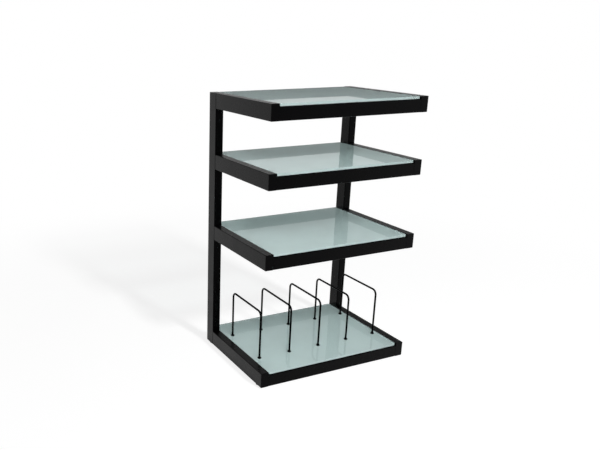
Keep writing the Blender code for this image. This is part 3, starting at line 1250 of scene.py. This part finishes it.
@dataclass(frozen=True)
class Lamp:
    """A soft rectangular lamp that faces the rack, with its power in watts."""

    name: str
    place: Vector
    sides: Ends
    power: float
    reach: Reach = Reach.ALL_BUT_FLOOR
    aim: Vector = Vector((0, 0, 0.45))

    def hang(self, floor: Item) -> None:
        """Adds the lamp and says what it lights.

        Args:
            floor: the floor, which it lights alone or not at all.
        """
        data = bpy.data.lights.new(self.name, "AREA")
        data.shape = "RECTANGLE"
        data.size, data.size_y = self.sides
        data.energy = self.power
        lamp = stand(self.name, data)
        lamp.location = self.place
        lamp.rotation_euler = (self.aim - self.place).to_track_quat("-Z", "Y").to_euler()
        group = bpy.data.collections.new(f"{self.name}_reach")
        group.objects.link(floor)
        group.collection_objects[0].light_linking.link_state = self.reach.value
        lamp.light_linking.receiver_collection = group


@dataclass
class Studio:
    """The camera, the pale floor, the soft surroundings and the lamps."""

    eye: Vector = Vector((-1.36153, -1.95401, 1.16842))
    heading: float = math.radians(24.12)
    elevation: float = math.radians(-17.54)
    lens: float = 40.649
    sensor: float = 36.0
    shift: Ends = (0.19207, 0.02547)
    floor_size: float = 60.0
    floor_colour: float = 0.8
    shadow_depth: float = 0.14
    open_light: float = 0.4
    mirrored_floor: float = 0.6
    shadow_reach: Ends = (0.8, 2.4)
    sky: tuple[Ends, ...] = ((0.0, 1.0), (0.049, 1.0), (0.06, 0.07), (0.13, 0.07), (0.14, 0.18),
                             (0.25, 0.18), (0.27, 0.0), (1.0, 0.0))
    mirrored_sky: float = 0.05
    lamps: tuple[Lamp, ...] = (
        Lamp("overhead_panel", Vector((0, 0, 1.232)), (3.76, 4.56), 24.0),
        Lamp("key", Vector((-0.8, -1.6, 1.6)), (0.9, 0.9), 21.0),
        Lamp("fill", Vector((0.5, -1.5, 1.5)), (0.9, 0.9), 4.0),
        Lamp("floor_lamp", Vector((0.9, -6.1, 4.4)), (0.7, 0.7), 385.0, Reach.FLOOR_ONLY),
    )

    def build(self) -> None:
        """Sets up everything round the rack."""
        self._camera()
        floor = self._floor()
        self._world()
        for lamp in self.lamps:
            lamp.hang(floor)
        bpy.context.scene.view_settings.view_transform = "Standard"

    def _camera(self) -> None:
        """Places the camera at the photograph's viewing angle."""
        data = bpy.data.cameras.new("camera")
        data.lens = self.lens
        data.sensor_width = self.sensor
        data.shift_x, data.shift_y = self.shift
        camera = stand("camera", data)
        camera.location = self.eye
        camera.rotation_euler = Euler((math.pi / 2 + self.elevation, 0, -self.heading))
        bpy.context.scene.camera = camera

    def _floor(self) -> Item:
        """Lays a pale floor that reads as white where it is open and keeps the rack's shadow.

        Returns:
            The floor.
        """
        shape = bmesh.new()
        bmesh.ops.create_grid(shape, x_segments=1, y_segments=1, size=self.floor_size / 2)
        mesh = bpy.data.meshes.new("floor")
        shape.to_mesh(mesh)
        shape.free()
        mesh.materials.append(self._floor_paper())
        floor = stand("floor", mesh)
        return floor

    def _floor_paper(self) -> Material:
        """Builds the floor's finish, which takes the shadow near the rack and is plain white far from it.

        Returns:
            The material.
        """
        material = bpy.data.materials.new("pale_floor")
        bench = ShaderBench(material)
        paper = bench.add("ShaderNodeBsdfDiffuse", ("Color", grey(self.floor_colour)))
        lit = bench.add("ShaderNodeBsdfDiffuse", ("Color", grey(self.shadow_depth / self.open_light)))
        glow = bench.add("ShaderNodeEmission", ("Strength", 1 - self.shadow_depth))
        near = bench.add("ShaderNodeAddShader", (0, glow), (1, lit))
        far = bench.add("ShaderNodeEmission", ("Strength", 1.0))
        place = bench.add("ShaderNodeTexCoord").outputs["Object"]
        distance = bench.add("ShaderNodeVectorMath", (0, place), operation="LENGTH").outputs["Value"]
        share = bench.add("ShaderNodeMapRange", *enumerate((distance, *self.shadow_reach)),
                          interpolation_type="SMOOTHSTEP")
        white = bench.mix(share, near, far)
        bench.surface(bench.mix(bench.seen(self.mirrored_floor), paper, white))
        return material

    def _world(self) -> None:
        """A white backdrop to the eye, and a dim room with a bright horizon to the rack and its gloss."""
        world = bpy.data.worlds.new("soft_room")
        bench = ShaderBench(world)
        place = bench.add("ShaderNodeTexCoord").outputs["Generated"]
        height = bench.add("ShaderNodeSeparateXYZ", ("Vector", place)).outputs["Z"]
        ramp = bench.add("ShaderNodeValToRGB", ("Fac", height))
        for position, _ in self.sky[2:]:
            ramp.color_ramp.elements.new(position)
        for element, (position, level) in zip(ramp.color_ramp.elements, self.sky):
            element.position = position
            element.color = grey(level)
        room = bench.add("ShaderNodeBackground", ("Color", ramp))
        backdrop = bench.add("ShaderNodeBackground", ("Color", grey(1.0)))
        bench.surface(bench.mix(bench.seen(self.mirrored_sky), room, backdrop), "World")
        bpy.context.scene.world = world


def main() -> None:
    """Builds the rack, sub-assembly by sub-assembly, and the studio round it."""
    logging.basicConfig(level=logging.INFO, format="%(message)s")
    finishes = FinishSet()
    Studio().build()
    TubeFrame(finishes.frame_paint).build()
    WeldBeads(finishes.frame_paint).build()
    ArmBolts(finishes.bolt).build()
    dividers = RecordDividers(finishes.wire_paint, finishes.nut)
    GlassShelves(finishes.glass, finishes.lacquer).build(dividers.legs)
    dividers.build()
    RubberStrips(finishes.rubber).dress()
    LevellingFeet(finishes.foot).build()


if __name__ == "__main__":
    main()
